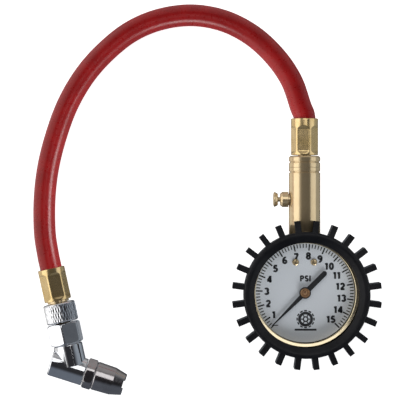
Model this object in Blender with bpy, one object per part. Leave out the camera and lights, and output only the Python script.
"""Dial tyre pressure gauge with a hose and an angled swivel chuck.

Run with: blender --background --python part.py

The gauge lies on its back. The origin is the centre of the boot's back face, on the dial's axis: +Z points
out of the dial and +Y runs up the valve body to the hose. Numbers are millimetres, and become metres as
meshes are made.
"""

import math

import bmesh
import bpy
from mathutils import Matrix, Vector

MM = 0.001
WELD = 1e-7
SHARP_ANGLE = math.radians(35)
GAP = 0.3

# Boot, case and dial, as radii about the dial's axis and heights above the back face
BOOT_RADIUS = 31.6
BOOT_BACK_RADIUS = 30.6
BOOT_INNER_RADIUS = 27.5
BOOT_LIP_RADIUS = 26.2
BOOT_TOP = 27.6
TOOTH_COUNT = 24
TOOTH_TIP_RADIUS = 37.4
TOOTH_WIDTH = 2.9
TOOTH_LOW = 11.0
TOOTH_HIGH = 26.9
BOOT_SHIFT = Vector((0.7, -1.0, 0))
CASE_RADIUS = 26.2
CASE_INNER_RADIUS = 25.2
CASE_BACK = 3.6
CASE_FLOOR = 4.6
CASE_RIM = 21.7
BEZEL_TOP = 25.0
BEZEL_INNER_RADIUS = 24.9
LENS_LOW = 22.8
LENS_HIGH = 23.9
DIAL_RADIUS = 24.9
DIAL_LOW = 17.6
DIAL_HIGH = 18.2
DIAL_SCREW_X = (-4.7, 4.5)
DIAL_SCREW_Y = 15.4
CASE_SCREWS = ((-4.5, 16.0), (-0.5, 19.2))

# Movement
GEAR_MODULE = 0.25
PINION_TEETH = 12
SECTOR_TEETH = 84
CENTRE_DISTANCE = GEAR_MODULE * (PINION_TEETH + SECTOR_TEETH) / 2
SECTOR_BEARING = math.radians(225)
SECTOR_PIVOT = (CENTRE_DISTANCE * math.cos(SECTOR_BEARING), CENTRE_DISTANCE * math.sin(SECTOR_BEARING))
SECTOR_FIRST_TOOTH = -11
SECTOR_LAST_TOOTH = 1
TAIL_LENGTH = 2.4
TAIL_ANGLE = math.radians(205)
LINK_PIN = (
    SECTOR_PIVOT[0] + TAIL_LENGTH * math.cos(TAIL_ANGLE),
    SECTOR_PIVOT[1] + TAIL_LENGTH * math.sin(TAIL_ANGLE),
)
TIP_PIN = (-13.2, 1.0)
ARBOR_RADIUS = 0.6
BEARING_RADIUS = 0.85
BACK_PLATE = (6.4, 7.2)
FRONT_PLATE = (14.6, 15.4)
SECTOR_HEIGHTS = (10.6, 11.4)
LINK_HEIGHTS = (11.7, 12.3)
TUBE_RADIUS = 17.6
TUBE_START = math.radians(76)
TUBE_SWEEP = math.radians(-254)
TUBE_HALF_DEPTH = 2.2
TUBE_HALF_WIDTH = 1.2
TUBE_WALL = 0.35
TUBE_Z = 7.6
TUBE_ROOT = (5.0, 17.0)
POINTER_ANGLE = math.radians(225)
POINTER_LENGTH = 23.5
POINTER_TAIL = 15.0
POINTER_LOW = 19.4
POINTER_HIGH = 19.8
POINTER_BOSS_RADIUS = 2.95
POINTER_HALF_TAIL = 1.3
HUB_RADIUS = 2.4

# Valve body, bleeder and hose, on the stem's axis at this height
STEM_Z = 13.0
BODY_RADIUS = 7.95
BODY_START = 27.7
BODY_END = 63.0
CAP_END = 68.8
GROOVE_DEPTH = 0.55
GROOVE_WIDTH = 0.9
BLEEDER_Y = 46.9
BUTTON_RADIUS = 3.75
FERRULE_RADIUS = 6.85
FERRULE_FLATS = 12.3
FERRULE_BORE = 5.9
CRIMP_BORE = 5.8
GAUGE_FERRULE_START = 69.2
GAUGE_FERRULE_LENGTH = 18.5
GAUGE_FERRULE_MOUTH = 4.3
GAUGE_FERRULE_ROLL = math.radians(-8)
HOSE_RADIUS = 5.55
HOSE_IN_FERRULE = 14.0

# Chuck: distances run along its neck from its ferrule's mouth, and along its nose from the elbow's corner
CHUCK_START = (-128.1, 12.0, 8.55)
NECK_ANGLE = math.radians(-77.6)
NOSE_ANGLE = NECK_ANGLE + math.radians(60)
CHUCK_FERRULE_LENGTH = 16.6
CHUCK_FERRULE_MOUTH = 2.8
CHUCK_FERRULE_ROLL = math.radians(10)
NUT_START = 17.9
NUT_END = 27.9
NUT_RADIUS = 8.2
HEX_START = 28.4
HEX_END = 39.0
HEX_FLATS = 15.5
HEX_CORNER_CUT = 0.4
HEX_ROLL = math.radians(-22.7)
ELBOW_CORNER = 51.9
NECK_RADIUS = 7.4
CROSS_RADIUS = 7.0
CROSS_BACK = -11.8
CROSS_END = 6.2
NOSE_START = 6.5
NOSE_COLLAR_END = 11.3
NOSE_BARREL_END = 21.2
NOSE_TIP = 27.1
NOSE_FLATS = 14.4
NOSE_ROLL = math.radians(8)
SOCKET_RADIUS = 4.4
SOCKET_FLOOR = 15.0
NOTCH_WIDTH = 4.6
NOTCH_DEPTH = 0.8

# The hose's route between its ferrules: its centreline, from the valve body round to the chuck
HOSE_ROUTE = (
    (0.0, 87.7, 13.0),
    (-2.0, 94.0, 12.4),
    (-6.6, 107.2, 10.2),
    (-14.9, 119.5, 7.9),
    (-26.6, 130.3, 6.3),
    (-41.0, 137.6, 5.7),
    (-57.0, 140.3, 5.6),
    (-73.3, 138.1, 5.6),
    (-88.0, 131.8, 5.6),
    (-101.0, 121.4, 5.6),
    (-111.6, 109.2, 5.6),
    (-120.0, 94.6, 5.6),
    (-125.9, 78.5, 5.7),
    (-129.8, 62.5, 6.0),
    (-131.5, 46.5, 6.7),
    (-131.3, 30.5, 7.8),
    (-129.7, 19.6, 8.4),
)


def clear_scene():
    for obj in list(bpy.data.objects):
        bpy.data.objects.remove(obj, do_unlink=True)


def material(name, color, roughness, metallic, alpha=1.0):
    made = bpy.data.materials.new(name)
    made.use_nodes = True
    shader = made.node_tree.nodes["Principled BSDF"]
    shader.inputs["Base Color"].default_value = (*color, 1.0)
    shader.inputs["Roughness"].default_value = roughness
    shader.inputs["Metallic"].default_value = metallic
    shader.inputs["Alpha"].default_value = alpha
    return made


def placed(x=0.0, y=0.0, z=0.0):
    return Matrix.Translation((x * MM, y * MM, z * MM))


def placed_along(start, direction, roll=0.0):
    """A frame whose +Z runs along a level direction, and whose +X is up, turned by roll about +Z."""
    along = Vector(direction).normalized()
    up = Vector((0.0, 0.0, 1.0))
    side = along.cross(up)
    turn = Matrix((up, side, along)).transposed().to_4x4()
    return Matrix.Translation(Vector(start) * MM) @ turn @ Matrix.Rotation(roll, 4, "Z")


def level_direction(angle):
    return (math.cos(angle), math.sin(angle), 0.0)


STEM = placed_along((0, 0, STEM_Z), (0, 1, 0))
BLEEDER = placed_along((0, BLEEDER_Y, STEM_Z), (-1, 0, 0))
NECK_DIRECTION = level_direction(NECK_ANGLE)
NOSE_DIRECTION = level_direction(NOSE_ANGLE)
NECK = placed_along(CHUCK_START, NECK_DIRECTION)
NOSE_CORNER = Vector(CHUCK_START) + ELBOW_CORNER * Vector(NECK_DIRECTION)
NOSE = placed_along(NOSE_CORNER, NOSE_DIRECTION)


def object_from(name, bm, surface, place):
    bmesh.ops.remove_doubles(bm, verts=bm.verts, dist=WELD)
    bmesh.ops.recalc_face_normals(bm, faces=bm.faces)
    mesh = bpy.data.meshes.new(name)
    bm.to_mesh(mesh)
    bm.free()
    mesh.shade_smooth()
    mesh.set_sharp_from_angle(angle=SHARP_ANGLE)
    mesh.materials.append(surface)
    obj = bpy.data.objects.new(name, mesh)
    obj.matrix_world = place
    bpy.context.scene.collection.objects.link(obj)
    return obj


def turned(name, outline, surface, place=placed(), steps=28):
    """A solid turned about its frame's Z from a closed outline of (radius, height)."""
    bm = bmesh.new()
    points = [bm.verts.new((radius * MM, 0, height * MM)) for radius, height in outline]
    edges = [
        bm.edges.new((first, second))
        for first, second in zip(points, points[1:] + points[:1])
        if first.co.x > 0 or second.co.x > 0
    ]
    bmesh.ops.spin(
        bm,
        geom=points + edges,
        cent=(0, 0, 0),
        axis=(0, 0, 1),
        angle=2 * math.pi,
        steps=steps,
        use_merge=True,
    )
    return object_from(name, bm, surface, place)


def rod(name, radius, low, high, surface, place=placed(), steps=20):
    return turned(name, ((0, low), (radius, low), (radius, high), (0, high)), surface, place, steps)


def ring(name, inner, outer, low, high, surface, place=placed(), steps=28):
    return turned(name, ((inner, low), (outer, low), (outer, high), (inner, high)), surface, place, steps)


def prism(name, outline, low, high, surface, place=placed()):
    """A flat outline of (x, y), raised from one height to another."""
    bm = bmesh.new()
    face = bm.faces.new([bm.verts.new((x * MM, y * MM, low * MM)) for x, y in outline])
    raised = bmesh.ops.extrude_face_region(bm, geom=[face])
    moved = [part for part in raised["geom"] if isinstance(part, bmesh.types.BMVert)]
    bmesh.ops.translate(bm, verts=moved, vec=(0, 0, (high - low) * MM))
    return object_from(name, bm, surface, place)


def block(name, low, high, surface):
    bm = bmesh.new()
    low, high = Vector(low) * MM, Vector(high) * MM
    size = Matrix.Diagonal((*(high - low), 1))
    bmesh.ops.create_cube(bm, size=1, matrix=Matrix.Translation((low + high) / 2) @ size)
    return object_from(name, bm, surface, placed())


def loft(name, rings, surface, place=placed()):
    """A ring-shaped solid through closed rings of points, the last joined to the first."""
    bm = bmesh.new()
    rows = [[bm.verts.new(Vector(point) * MM) for point in points] for points in rings]
    for row, after in zip(rows, rows[1:] + rows[:1]):
        for i in range(len(row)):
            j = (i + 1) % len(row)
            bm.faces.new((row[i], row[j], after[j], after[i]))
    return object_from(name, bm, surface, place)


def combine(obj, tool, operation):
    """Joins a tool to an object, or cuts it away, with the tool left out of the build."""
    tool.hide_render = True
    tool.display_type = "WIRE"
    step = obj.modifiers.new(tool.name, "BOOLEAN")
    step.operation = operation
    step.object = tool


def drill(obj, radius, low, high, place=placed(), steps=24):
    name = f"{obj.name}_drill_{len(obj.modifiers)}"
    combine(obj, rod(name, radius, low, high, obj.data.materials[0], place, steps), "DIFFERENCE")


def hang_on_pivot(name, location, pieces):
    """Parents a moving body's pieces to an empty on its joint's axis."""
    pivot = bpy.data.objects.new(name, None)
    pivot.matrix_world = placed(*location)
    bpy.context.scene.collection.objects.link(pivot)
    for piece in pieces:
        piece.parent = pivot
        piece.matrix_parent_inverse = placed(*location).inverted()


def circle(radius, height, sides, start=0.0):
    turns = [start + 2 * math.pi * i / sides for i in range(sides)]
    return [(radius * math.cos(a), radius * math.sin(a), height) for a in turns]


def faceted(flats, across, corner_radius, height, sides, roll=0.0):
    """A ring with this many flats, this far across, and corners rounded off at corner_radius."""
    points = []
    step = 2 * math.pi / flats
    for i in range(sides):
        angle = 2 * math.pi * i / sides
        off_flat = (angle - roll + step / 2) % step - step / 2
        radius = min(corner_radius, across / 2 / math.cos(off_flat))
        points.append((radius * math.cos(angle), radius * math.sin(angle), height))
    return points


def arc(centre, radius, start, end, count):
    turns = [start + (end - start) * i / (count - 1) for i in range(count)]
    return [(centre[0] + radius * math.cos(a), centre[1] + radius * math.sin(a)) for a in turns]


def gear_teeth(module, count, tooth_numbers, phase):
    """Corner points of straight-sided teeth on a gear of this many teeth, in order of angle."""
    pitch_radius = module * count / 2
    corners = (
        (pitch_radius - 1.25 * module, -0.85 * module),
        (pitch_radius + 0.8 * module, -0.28 * module),
        (pitch_radius + 0.8 * module, 0.28 * module),
        (pitch_radius - 1.25 * module, 0.85 * module),
    )
    points = []
    for number in tooth_numbers:
        middle = phase + 2 * math.pi * number / count
        for radius, offset in corners:
            angle = middle + offset / radius
            points.append((radius * math.cos(angle), radius * math.sin(angle)))
    return points


def smooth_route(points, steps):
    """Points along a Catmull-Rom curve through the given ones."""
    ends = [2 * points[0] - points[1]] + points + [2 * points[-1] - points[-2]]
    found = []
    for before, start, end, after in zip(ends, ends[1:], ends[2:], ends[3:]):
        for i in range(steps):
            t = i / steps
            found.append(
                (
                    2 * start
                    + (end - before) * t
                    + (2 * before - 5 * start + 4 * end - after) * t**2
                    + (3 * start - before - 3 * end + after) * t**3
                )
                / 2
            )
    return found + [points[-1]]


def helix_spring(name, radius, wire, low, high, turns, surface, place):
    """A closed round-wire coil about its frame's Z."""
    per_turn = 8
    sides = 4
    count = turns * per_turn + 1
    bm = bmesh.new()
    rows = []
    for i in range(count):
        angle = 2 * math.pi * i / per_turn
        height = low + wire + (high - low - 2 * wire) * i / (count - 1)
        outward = Vector((math.cos(angle), math.sin(angle), 0))
        row = []
        for k in range(sides):
            around = 2 * math.pi * k / sides
            point = outward * (radius + wire * math.cos(around))
            point.z = height + wire * math.sin(around)
            row.append(bm.verts.new(point * MM))
        rows.append(row)
    for row, after in zip(rows, rows[1:]):
        for k in range(sides):
            j = (k + 1) % sides
            bm.faces.new((row[k], row[j], after[j], after[k]))
    bm.faces.new(rows[0])
    bm.faces.new(rows[-1])
    return object_from(name, bm, surface, place)


def make_boot(rubber):
    """A cup with a lip over the bezel, a groove in its back, and square teeth round its rim.

    The soft boot sits a little off the dial's axis, all but its inside, which fits the case.
    """
    wall = (
        (0, 0),
        (18, 0),
        (18.8, 0.8),
        (23.2, 0.8),
        (24, 0),
        (29.0, 0),
        (BOOT_BACK_RADIUS, 1.8),
        (BOOT_RADIUS, TOOTH_LOW),
    )
    rim = (
        (BOOT_RADIUS, TOOTH_HIGH),
        (30.9, BOOT_TOP - 0.2),
        (30.2, BOOT_TOP),
        (29.2, BOOT_TOP - 0.1),
        (BOOT_LIP_RADIUS, 26.0),
        (BOOT_LIP_RADIUS, BEZEL_TOP + GAP),
    )
    inside = (
        (BOOT_INNER_RADIUS, BEZEL_TOP + GAP),
        (BOOT_INNER_RADIUS, CASE_BACK - GAP),
        (22.5, CASE_BACK - GAP),
        (22.0, 2.4),
        (0, 2.4),
    )
    half = TOOTH_WIDTH / 2
    foot = math.asin(half / BOOT_RADIUS)
    tip = math.asin(half / TOOTH_TIP_RADIUS)
    rows = []
    for number in range(TOOTH_COUNT):
        middle = 2 * math.pi * (number + 0.5) / TOOTH_COUNT
        for side, out in ((-1, False), (-1, True), (1, True), (1, False)):
            root_angle = middle + side * foot
            tooth_angle = middle + side * (tip if out else foot)
            tooth_radius = TOOTH_TIP_RADIUS if out else BOOT_RADIUS
            row = [(radius, height, root_angle) for radius, height in wall]
            row += [(tooth_radius, TOOTH_LOW, tooth_angle), (tooth_radius, TOOTH_HIGH, tooth_angle)]
            row += [(radius, height, root_angle) for radius, height in rim]
            points = [Vector((r * math.cos(a), r * math.sin(a), h)) + BOOT_SHIFT for r, h, a in row]
            x, y = math.cos(root_angle), math.sin(root_angle)
            rows.append(points + [Vector((r * x, r * y, h)) for r, h in inside])
    bm = bmesh.new()
    made = [[bm.verts.new(point * MM) for point in row] for row in rows]
    for row, after in zip(made, made[1:] + made[:1]):
        for i in range(len(row) - 1):
            bm.faces.new((row[i], after[i], after[i + 1], row[i + 1]))
    boot = object_from("rubber_boot", bm, rubber, placed())
    drill(boot, BODY_RADIUS + GAP, 24.0, 40.0, STEM, 28)
    return boot


def make_case(brass, steel, glass, rubber, dial_paint):
    case = turned(
        "gauge_case",
        (
            (0, CASE_BACK),
            (CASE_RADIUS - 0.6, CASE_BACK),
            (CASE_RADIUS, CASE_BACK + 0.6),
            (CASE_RADIUS, CASE_RIM),
            (CASE_INNER_RADIUS, CASE_RIM),
            (CASE_INNER_RADIUS, CASE_FLOOR),
            (0, CASE_FLOOR),
        ),
        brass,
        steps=40,
    )
    drill(case, 4.9, 22.0, 30.0, STEM)
    for x, y in CASE_SCREWS:
        drill(case, 1.3, CASE_BACK - 1, CASE_FLOOR + 1, placed(x, y), 12)
    turned(
        "bezel_ring",
        (
            (BEZEL_INNER_RADIUS, LENS_HIGH + GAP),
            (BEZEL_INNER_RADIUS, BEZEL_TOP - 0.3),
            (BEZEL_INNER_RADIUS + 0.3, BEZEL_TOP),
            (26.7, BEZEL_TOP),
            (27.2, BEZEL_TOP - 0.5),
            (27.2, 20.0),
            (CASE_RADIUS + GAP, 20.0),
            (CASE_RADIUS + GAP, LENS_HIGH + GAP),
        ),
        brass,
        steps=40,
    )
    rod("lens", CASE_RADIUS, LENS_LOW, LENS_HIGH, glass, steps=40)
    ring("lens_gasket", CASE_INNER_RADIUS + 0.1, CASE_RADIUS - 0.1, CASE_RIM + GAP, LENS_LOW - GAP, rubber)
    dial = ring("dial_plate", 1.5, DIAL_RADIUS, DIAL_LOW, DIAL_HIGH, dial_paint, steps=40)
    for side, x in zip(("left", "right"), DIAL_SCREW_X):
        place = placed(x, DIAL_SCREW_Y)
        drill(dial, 1.1, DIAL_LOW - 1, DIAL_HIGH + 1, place, 12)
        make_screw(f"dial_screw_{side}", 1.65, 0.8, (18.5, 19.1), 17.1, brass, place)
    for side, (x, y) in zip(("lower", "upper"), CASE_SCREWS):
        make_screw(f"case_screw_{side}", 2.0, 0.9, (3.3, 2.65), 8.2, steel, placed(x, y))


def make_screw(name, head_radius, shank_radius, head, shank_end, surface, place):
    """A screw from its head's inner and outer face to the end of its shank, along Z."""
    turned(
        name,
        (
            (0, shank_end),
            (shank_radius, shank_end),
            (shank_radius, head[0]),
            (head_radius, head[0]),
            (head_radius, head[1]),
            (0, head[1]),
        ),
        surface,
        place,
        16,
    )


def make_socket(brass, fibre):
    """The block that carries the movement and the pressure tube, with a neck for the valve body."""
    socket = block("socket_block", (-6.5, 13, CASE_FLOOR + GAP), (6.5, 24.2, 16.8), brass)
    lug = block("socket_lug", (-4, 4, CASE_FLOOR + 0.4), (4, 13.5, BACK_PLATE[0] - GAP), brass)
    combine(socket, lug, "UNION")
    combine(socket, rod("socket_neck", 4.4, 23.8, 37.2, brass, STEM), "UNION")
    notch_top = TUBE_Z + TUBE_HALF_DEPTH + 0.5
    combine(socket, block("tube_notch", (3.4, 14.6, 4.0), (7.5, 19.6, notch_top), brass), "DIFFERENCE")
    drill(socket, 1.55, 17.0, 38.0, STEM, 14)
    down = Vector((4.3, -1.2, TUBE_Z - STEM_Z))
    passage = placed(0, 18.6, STEM_Z) @ down.to_track_quat("Z", "Y").to_matrix().to_4x4()
    drill(socket, 0.9, 0.0, down.length, passage, 12)
    for x, y in CASE_SCREWS:
        drill(socket, 1.2, CASE_FLOOR, 8.6, placed(x, y), 12)
    for x in DIAL_SCREW_X:
        drill(socket, 1.1, 15.6, 17.5, placed(x, DIAL_SCREW_Y), 12)
    ring("stem_gasket", 4.8, 6.2, 26.55, BODY_START - GAP, fibre, STEM, 24)


def make_bourdon_tube(bronze, brass):
    """A flattened tube, open at its root in the socket block, and plugged at its tip by the tip block."""
    outer = []
    inner = []
    for i in range(8):
        angle = 2 * math.pi * i / 8
        outer.append((TUBE_HALF_WIDTH * math.cos(angle), TUBE_HALF_DEPTH * math.sin(angle)))
        inner.append(
            (
                (TUBE_HALF_WIDTH - TUBE_WALL) * math.cos(angle),
                (TUBE_HALF_DEPTH - TUBE_WALL) * math.sin(angle),
            )
        )
    stations = 18
    rows = []
    for section, order in ((outer, range(stations + 1)), (inner, range(stations, -1, -1))):
        for station in order:
            turn = TUBE_START + TUBE_SWEEP * station / stations
            rows.append(
                [
                    (
                        (TUBE_RADIUS + across) * math.cos(turn),
                        (TUBE_RADIUS + across) * math.sin(turn),
                        TUBE_Z + along,
                    )
                    for across, along in section
                ]
            )
    tube = loft("bourdon_tube", rows, bronze)
    tip_inner = (TIP_PIN[0] + 0.9, 2.1, LINK_HEIGHTS[0] - 0.5)
    tip = block("tip_block", (-18.9, -0.1, TUBE_Z - 1.8), tip_inner, brass)
    pin = rod("tip_pin", 0.35, LINK_HEIGHTS[0] - 1, LINK_HEIGHTS[1] + 0.3, brass, placed(*TIP_PIN), 10)
    combine(tip, pin, "UNION")
    hang_on_pivot("bourdon_pivot", (*TUBE_ROOT, TUBE_Z), (tube, tip))


def make_movement(brass, steel):
    outline = (
        (-11.5, -9.8),
        (-9.0, -11.7),
        (-4.0, -14.0),
        (2.0, -10.5),
        (8.0, -6.5),
        (8.0, 8.0),
        (5.0, 11.0),
        (-4.5, 11.0),
        (-6.5, 3.0),
        (-12.0, -6.0),
    )
    for name, (low, high) in (("movement_back_plate", BACK_PLATE), ("movement_front_plate", FRONT_PLATE)):
        plate = prism(name, outline, low, high, brass)
        for x, y in ((0.0, 0.0), SECTOR_PIVOT):
            drill(plate, BEARING_RADIUS, low - 1, high + 1, placed(x, y), 16)
    between = (BACK_PLATE[1] + GAP, FRONT_PLATE[0] - GAP)
    for number, (x, y) in enumerate(((6.2, -5.0), (5.5, 7.5), (-4.6, -12.2))):
        rod(f"movement_pillar_{number + 1}", 1.1, *between, brass, placed(x, y), 12)
    pinion_outline = gear_teeth(GEAR_MODULE, PINION_TEETH, range(PINION_TEETH), SECTOR_BEARING)
    pinion = prism("center_pinion", pinion_outline, 10.3, 11.7, brass)
    combine(pinion, rod("pinion_arbor", ARBOR_RADIUS, 5.6, 20.6, brass, steps=16), "UNION")
    make_sector(brass, steel)
    make_link(brass)
    make_hairspring(brass)
    return pinion


def make_sector(brass, steel):
    """The toothed sector, with a tooth space facing the pinion at rest and the tail that the link pulls."""
    facing = SECTOR_BEARING - math.pi
    phase = facing + math.pi / SECTOR_TEETH
    teeth = gear_teeth(
        GEAR_MODULE, SECTOR_TEETH, range(SECTOR_FIRST_TOOTH, SECTOR_LAST_TOOTH + 1), phase
    )
    tail_end = (TAIL_LENGTH * math.cos(TAIL_ANGLE), TAIL_LENGTH * math.sin(TAIL_ANGLE))
    tail = arc(tail_end, 1.2, TAIL_ANGLE - 1.4, TAIL_ANGLE + 1.4, 7)
    outline = teeth + arc((0, 0), 2.0, math.radians(75), math.radians(140), 5) + tail
    outline += arc((0, 0), 2.0, math.radians(270), math.radians(335), 5)
    sector = prism("sector_gear", outline, *SECTOR_HEIGHTS, brass, placed(*SECTOR_PIVOT))
    below, above = SECTOR_HEIGHTS[0] - 1, SECTOR_HEIGHTS[1] + 1
    drill(sector, ARBOR_RADIUS + 0.1, below, above, placed(*SECTOR_PIVOT), 16)
    drill(sector, 0.6, below, above, placed(*LINK_PIN), 12)
    arbor = rod("sector_arbor", ARBOR_RADIUS, 5.6, 16.2, steel, placed(*SECTOR_PIVOT), 16)
    hang_on_pivot("sector_pivot", (*SECTOR_PIVOT, SECTOR_HEIGHTS[0]), (sector, arbor))
    stop_angle = math.radians(-11)
    stop = (SECTOR_PIVOT[0] + 7 * math.cos(stop_angle), SECTOR_PIVOT[1] + 7 * math.sin(stop_angle))
    rod("zero_stop_pin", 0.5, BACK_PLATE[1] + GAP, FRONT_PLATE[0] - GAP, steel, placed(*stop), 12)


def make_link(brass):
    """A flat bar pinned through the sector's tail, with a loose eye on the tip block's pin."""
    across = Vector(TIP_PIN) - Vector(LINK_PIN)
    place = placed(*LINK_PIN) @ Matrix.Rotation(math.atan2(across.y, across.x), 4, "Z")
    outline = arc((0, 0), 0.9, math.radians(50), math.radians(310), 9)
    outline += arc((across.length, 0), 1.5, math.radians(-153), math.radians(153), 13)
    link = prism("drive_link", outline, *LINK_HEIGHTS, brass, place)
    drill(link, 0.8, LINK_HEIGHTS[0] - 1, LINK_HEIGHTS[1] + 1, place @ placed(across.length), 12)
    combine(link, rod("link_pin", 0.3, SECTOR_HEIGHTS[0] - 0.4, LINK_HEIGHTS[1], brass, place, 10), "UNION")
    hang_on_pivot("link_pivot", (*LINK_PIN, LINK_HEIGHTS[0]), (link,))


def make_hairspring(brass):
    per_turn = 12
    turns = 3
    inner_radius = 1.0
    pitch = 0.9
    tape = 0.16
    angles = [2 * math.pi * i / per_turn for i in range(per_turn * turns + 1)]
    inner = [(inner_radius + pitch * a / (2 * math.pi), a) for a in angles]
    outline = [((r + tape) * math.cos(a), (r + tape) * math.sin(a)) for r, a in inner]
    outline += [(r * math.cos(a), r * math.sin(a)) for r, a in reversed(inner)]
    prism("hairspring", outline, 12.9, 13.5, brass)


def make_pointer(black_paint, brass, pinion):
    tail_end = (POINTER_HALF_TAIL - POINTER_TAIL, 0)
    outline = [(POINTER_LENGTH, -0.15), (POINTER_LENGTH, 0.15), (2.8, 1.0)]
    outline += arc((0, 0), POINTER_BOSS_RADIUS, math.radians(24), math.radians(153), 9)
    outline += arc(tail_end, POINTER_HALF_TAIL, math.radians(90), math.radians(270), 9)
    outline += arc((0, 0), POINTER_BOSS_RADIUS, math.radians(207), math.radians(336), 9)
    outline += [(2.8, -1.0)]
    turn = Matrix.Rotation(POINTER_ANGLE, 4, "Z")
    pointer = prism("pointer", outline, POINTER_LOW, POINTER_HIGH, black_paint, turn)
    drill(pointer, ARBOR_RADIUS + 0.1, POINTER_LOW - 1, POINTER_HIGH + 1, steps=16)
    hub = turned(
        "pointer_hub",
        (
            (0, 20.9),
            (0.7, 20.9),
            (0.7, 20.1),
            (HUB_RADIUS, 20.1),
            (HUB_RADIUS, 20.9),
            (HUB_RADIUS - 0.4, 21.3),
            (0, 21.3),
        ),
        brass,
        steps=20,
    )
    hang_on_pivot("pointer_pivot", (0, 0, POINTER_LOW), (pointer, hub, pinion))


def make_valve_body(brass, steel, rubber):
    groove = 60.7
    turned(
        "valve_body",
        (
            (4.75, BODY_START),
            (7.5, BODY_START),
            (BODY_RADIUS, BODY_START + 0.45),
            *grooved(groove, BODY_RADIUS),
            (BODY_RADIUS, BODY_END),
            (4.3, BODY_END),
            (4.3, 50.8),
            (2.0, 50.8),
            (2.0, 37.6),
            (4.75, 37.6),
        ),
        brass,
        STEM,
        28,
    )
    drill(bpy.data.objects["valve_body"], 3.2, 1.5, 9.0, BLEEDER)
    turned(
        "body_end_cap",
        (
            (1.6, 61.5),
            (4.0, 61.5),
            (4.0, BODY_END + GAP),
            (BODY_RADIUS, BODY_END + GAP),
            *grooved(65.7, BODY_RADIUS),
            (BODY_RADIUS, CAP_END - 0.7),
            (7.2, CAP_END),
            (3.5, CAP_END),
            (3.5, 64.0),
            (1.6, 64.0),
        ),
        brass,
        STEM,
        28,
    )
    poppet = turned(
        "check_poppet",
        ((0, 57.6), (1.4, 57.6), (1.4, 59.4), (2.9, 59.4), (2.9, 61.0), (0, 61.0)),
        rubber,
        STEM,
        20,
    )
    hang_on_pivot("check_pivot", (0, 61.0, STEM_Z), (poppet,))
    helix_spring("check_spring", 2.3, 0.3, 51.1, 59.1, 5, steel, STEM)


def grooved(middle, radius):
    """The points of a small square groove round a turned surface."""
    half = GROOVE_WIDTH / 2
    return (
        (radius, middle - half),
        (radius - GROOVE_DEPTH, middle - half + 0.15),
        (radius - GROOVE_DEPTH, middle + half - 0.15),
        (radius, middle + half),
    )


def make_bleeder(brass, steel, rubber):
    """The side valve that lets the pressure out: distances run out from the stem's axis."""
    turned(
        "bleeder_boss",
        (
            (1.1, 5.2),
            (2.9, 5.2),
            (2.9, 8.25),
            (3.9, 8.25),
            (3.9, 11.2),
            (2.85, 12.4),
            (2.1, 12.4),
            (2.1, 8.9),
            (1.1, 8.9),
        ),
        brass,
        BLEEDER,
        20,
    )
    button = turned(
        "bleeder_button",
        (
            (0, 3.2),
            (2.2, 3.2),
            (2.2, 4.0),
            (0.8, 4.0),
            (0.8, 11.6),
            (1.75, 11.6),
            (1.75, 12.1),
            (1.15, 12.1),
            (1.15, 13.4),
            (3.0, 13.5),
            (BUTTON_RADIUS, 14.9),
            (BUTTON_RADIUS, 15.5),
            (2.6, 15.85),
            (0, 15.95),
        ),
        brass,
        BLEEDER,
        20,
    )
    seal = ring("bleeder_seal", 1.1, 2.0, 4.2, 5.0, rubber, BLEEDER, 16)
    hang_on_pivot("bleeder_pivot", (-13.5, BLEEDER_Y, STEM_Z), (button, seal))
    helix_spring("bleeder_spring", 1.5, 0.2, 9.1, 11.4, 3, steel, BLEEDER)


def make_ferrule(name, start, end, mouth, roll, brass, place):
    """A crimped sleeve: six flats between round ends, the longer round end at the hose's mouth."""
    sides = 24
    rings = [
        circle(CRIMP_BORE, start, sides),
        circle(FERRULE_RADIUS - 0.4, start, sides),
        circle(FERRULE_RADIUS, start + 0.5, sides),
        circle(FERRULE_RADIUS, start + 1.2, sides),
        faceted(6, FERRULE_FLATS, FERRULE_RADIUS + 0.05, start + 1.8, sides, roll),
        faceted(6, FERRULE_FLATS, FERRULE_RADIUS + 0.05, end - mouth - 0.6, sides, roll),
        circle(FERRULE_RADIUS, end - mouth, sides),
        circle(FERRULE_RADIUS, end - 0.4, sides),
        circle(FERRULE_RADIUS - 0.4, end, sides),
        circle(FERRULE_BORE, end, sides),
        circle(CRIMP_BORE, end - mouth, sides),
    ]
    loft(name, rings, brass, place)


def make_hose(red_rubber, brass):
    turned(
        "hose_insert_gauge",
        ((1.6, 64.4), (3.2, 64.4), (3.2, CAP_END + GAP), (5.5, CAP_END + GAP), (5.5, 73.3), (1.6, 73.3)),
        brass,
        STEM,
        20,
    )
    gauge_mouth = GAUGE_FERRULE_START + GAUGE_FERRULE_LENGTH
    make_ferrule(
        "hose_ferrule_gauge",
        GAUGE_FERRULE_START,
        gauge_mouth,
        GAUGE_FERRULE_MOUTH,
        GAUGE_FERRULE_ROLL,
        brass,
        STEM,
    )
    gauge_end = Vector((0, gauge_mouth - HOSE_IN_FERRULE, STEM_Z))
    mouth = Vector(CHUCK_START)
    chuck_end = mouth + HOSE_IN_FERRULE * Vector(NECK_DIRECTION)
    route = [gauge_end] + [Vector(point) for point in HOSE_ROUTE] + [mouth, chuck_end]
    spine = smooth_route(route, 2)
    curve = bpy.data.curves.new("hose", "CURVE")
    curve.dimensions = "3D"
    curve.bevel_depth = HOSE_RADIUS * MM
    curve.bevel_resolution = 2
    curve.use_fill_caps = True
    line = curve.splines.new("POLY")
    line.points.add(len(spine) - 1)
    for point, place in zip(line.points, spine):
        point.co = (*(place * MM), 1)
    curve.materials.append(red_rubber)
    bpy.context.scene.collection.objects.link(bpy.data.objects.new("hose", curve))


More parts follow.
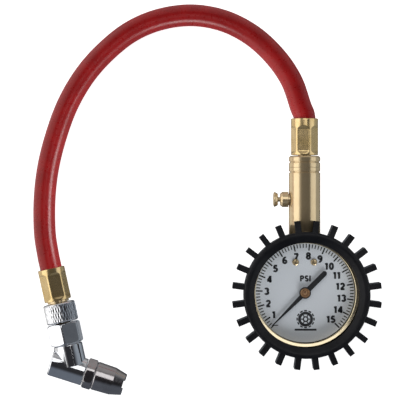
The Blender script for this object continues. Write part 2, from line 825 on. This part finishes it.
def make_swivel(brass, chrome, rubber):
    turned(
        "hose_insert_chuck",
        (
            (1.6, 14.4),
            (5.5, 14.4),
            (5.5, 17.6),
            (4.4, 17.6),
            (4.4, 28.0),
            (3.4, 28.4),
            (3.4, 32.4),
            (2.5, 32.4),
            (2.5, 34.0),
            (3.4, 34.0),
            (3.4, 36.0),
            (1.6, 36.0),
        ),
        brass,
        NECK,
        20,
    )
    make_ferrule(
        "hose_ferrule_chuck",
        0.0,
        CHUCK_FERRULE_LENGTH,
        CHUCK_FERRULE_MOUTH,
        CHUCK_FERRULE_ROLL,
        brass,
        NECK @ chuck_ferrule_turn(),
    )
    section = [(3.15 + 0.42 * x, 33.2 + 0.42 * z) for x, z, _ in circle(1, 0, 6)]
    turned("swivel_oring", section, rubber, NECK, 20)
    nut = turned(
        "swivel_nut",
        (
            (4.75, NUT_START),
            (NUT_RADIUS - 0.8, NUT_START),
            (NUT_RADIUS, NUT_START + 0.8),
            (NUT_RADIUS, NUT_END - 0.8),
            (NUT_RADIUS - 0.8, NUT_END),
            (4.75, NUT_END),
        ),
        chrome,
        NECK,
        32,
    )
    return nut


def chuck_ferrule_turn():
    """Turns the ferrule end for end, so that its longer round end is at the hose's mouth."""
    return Matrix.Translation((0, 0, CHUCK_FERRULE_LENGTH * MM)) @ Matrix.Rotation(math.pi, 4, "X")


def make_chuck(chrome, gunmetal, rubber, steel, nut):
    sides = 24
    corner = HEX_FLATS / 2 / math.cos(math.radians(30)) - HEX_CORNER_CUT
    hexagon = loft(
        "chuck_hex",
        [
            circle(3.75, HEX_START, sides),
            circle(HEX_FLATS / 2 - 0.1, HEX_START, sides),
            faceted(6, HEX_FLATS, corner, HEX_START + 0.7, sides, HEX_ROLL),
            faceted(6, HEX_FLATS, corner, HEX_END - 0.7, sides, HEX_ROLL),
            circle(HEX_FLATS / 2 - 0.1, HEX_END, sides),
            circle(2.0, HEX_END, sides),
            circle(2.0, 36.6, sides),
            circle(3.75, 36.6, sides),
        ],
        chrome,
        NECK,
    )
    elbow = turned(
        "chuck_elbow",
        (
            (0, HEX_END + GAP),
            (NECK_RADIUS - 0.5, HEX_END + GAP),
            (NECK_RADIUS, HEX_END + GAP + 0.5),
            (NECK_RADIUS, ELBOW_CORNER - 1.5),
            (0, ELBOW_CORNER - 0.5),
        ),
        chrome,
        NECK,
        28,
    )
    cross = turned(
        "elbow_cross",
        (
            (0, CROSS_BACK),
            (CROSS_RADIUS - 0.6, CROSS_BACK),
            (CROSS_RADIUS, CROSS_BACK + 0.6),
            (CROSS_RADIUS, CROSS_END),
            (0, CROSS_END),
        ),
        chrome,
        NOSE,
        28,
    )
    combine(elbow, cross, "UNION")
    drill(elbow, 2.0, HEX_END - 1, ELBOW_CORNER + 0.5, NECK, 16)
    drill(elbow, 2.2, -1.0, CROSS_END + 1, NOSE, 16)
    cap = loft("nose_cap", nose_rings(sides), gunmetal, NOSE)
    half = NOTCH_WIDTH / 2
    notch = block("mouth_notch", (-9, -half, NOSE_TIP - NOTCH_DEPTH), (9, half, NOSE_TIP + 1), gunmetal)
    notch.matrix_world = NOSE
    combine(cap, notch, "DIFFERENCE")
    seal_low, seal_high = SOCKET_FLOOR + GAP, SOCKET_FLOOR + 1.9
    seal = ring("nose_seal", 2.6, SOCKET_RADIUS - 0.2, seal_low, seal_high, rubber, NOSE, 24)
    pin = turned(
        "depressor_pin",
        ((0, 11.4), (1.9, 11.4), (1.9, 12.4), (0.8, 12.4), (0.8, 18.6), (0.5, 19.0), (0, 19.0)),
        steel,
        NOSE,
        16,
    )
    hang_on_pivot("nut_pivot", CHUCK_START, (nut,))
    hang_on_pivot("chuck_pivot", CHUCK_START, (hexagon, elbow, cap, seal, pin))


def nose_rings(sides):
    collar_corner = NOSE_FLATS / 2 / math.cos(math.radians(30)) - 0.15
    return [
        circle(2.2, NOSE_START, sides),
        circle(NOSE_FLATS / 2 - 0.2, NOSE_START, sides),
        faceted(6, NOSE_FLATS, collar_corner, NOSE_START + 0.6, sides, NOSE_ROLL),
        faceted(6, NOSE_FLATS, collar_corner, NOSE_COLLAR_END - 0.5, sides, NOSE_ROLL),
        circle(7.1, NOSE_COLLAR_END, sides),
        circle(7.35, NOSE_COLLAR_END + 0.5, sides),
        circle(7.05, NOSE_BARREL_END, sides),
        circle(5.6, NOSE_TIP - 0.5, sides),
        circle(5.3, NOSE_TIP, sides),
        circle(SOCKET_RADIUS, NOSE_TIP, sides),
        circle(SOCKET_RADIUS, SOCKET_FLOOR, sides),
        circle(2.2, SOCKET_FLOOR, sides),
    ]


def build():
    clear_scene()
    black_rubber = material("boot_rubber", (0.012, 0.013, 0.016), 0.55, 0.0)
    seal_rubber = material("seal_rubber", (0.02, 0.02, 0.02), 0.6, 0.0)
    red_rubber = material("hose_rubber", (0.33, 0.02, 0.025), 0.45, 0.0)
    brass = material("brass", (0.72, 0.52, 0.24), 0.32, 1.0)
    steel = material("steel", (0.55, 0.55, 0.56), 0.35, 1.0)
    chrome = material("chrome", (0.75, 0.75, 0.76), 0.12, 1.0)
    gunmetal = material("gunmetal", (0.12, 0.11, 0.115), 0.3, 1.0)
    bronze = material("bronze", (0.6, 0.38, 0.2), 0.4, 1.0)
    glass = material("lens_clear", (0.95, 0.97, 1.0), 0.05, 0.0, 0.35)
    dial_paint = material("dial_paint", (0.62, 0.66, 0.7), 0.45, 0.0)
    black_paint = material("pointer_paint", (0.01, 0.01, 0.01), 0.5, 0.0)

    make_boot(black_rubber)
    make_case(brass, steel, glass, seal_rubber, dial_paint)
    make_socket(brass, seal_rubber)
    make_bourdon_tube(bronze, brass)
    pinion = make_movement(brass, steel)
    make_pointer(black_paint, brass, pinion)
    make_valve_body(brass, steel, seal_rubber)
    make_bleeder(brass, steel, seal_rubber)
    make_hose(red_rubber, brass)
    nut = make_swivel(brass, chrome, seal_rubber)
    make_chuck(chrome, gunmetal, seal_rubber, steel, nut)


build()
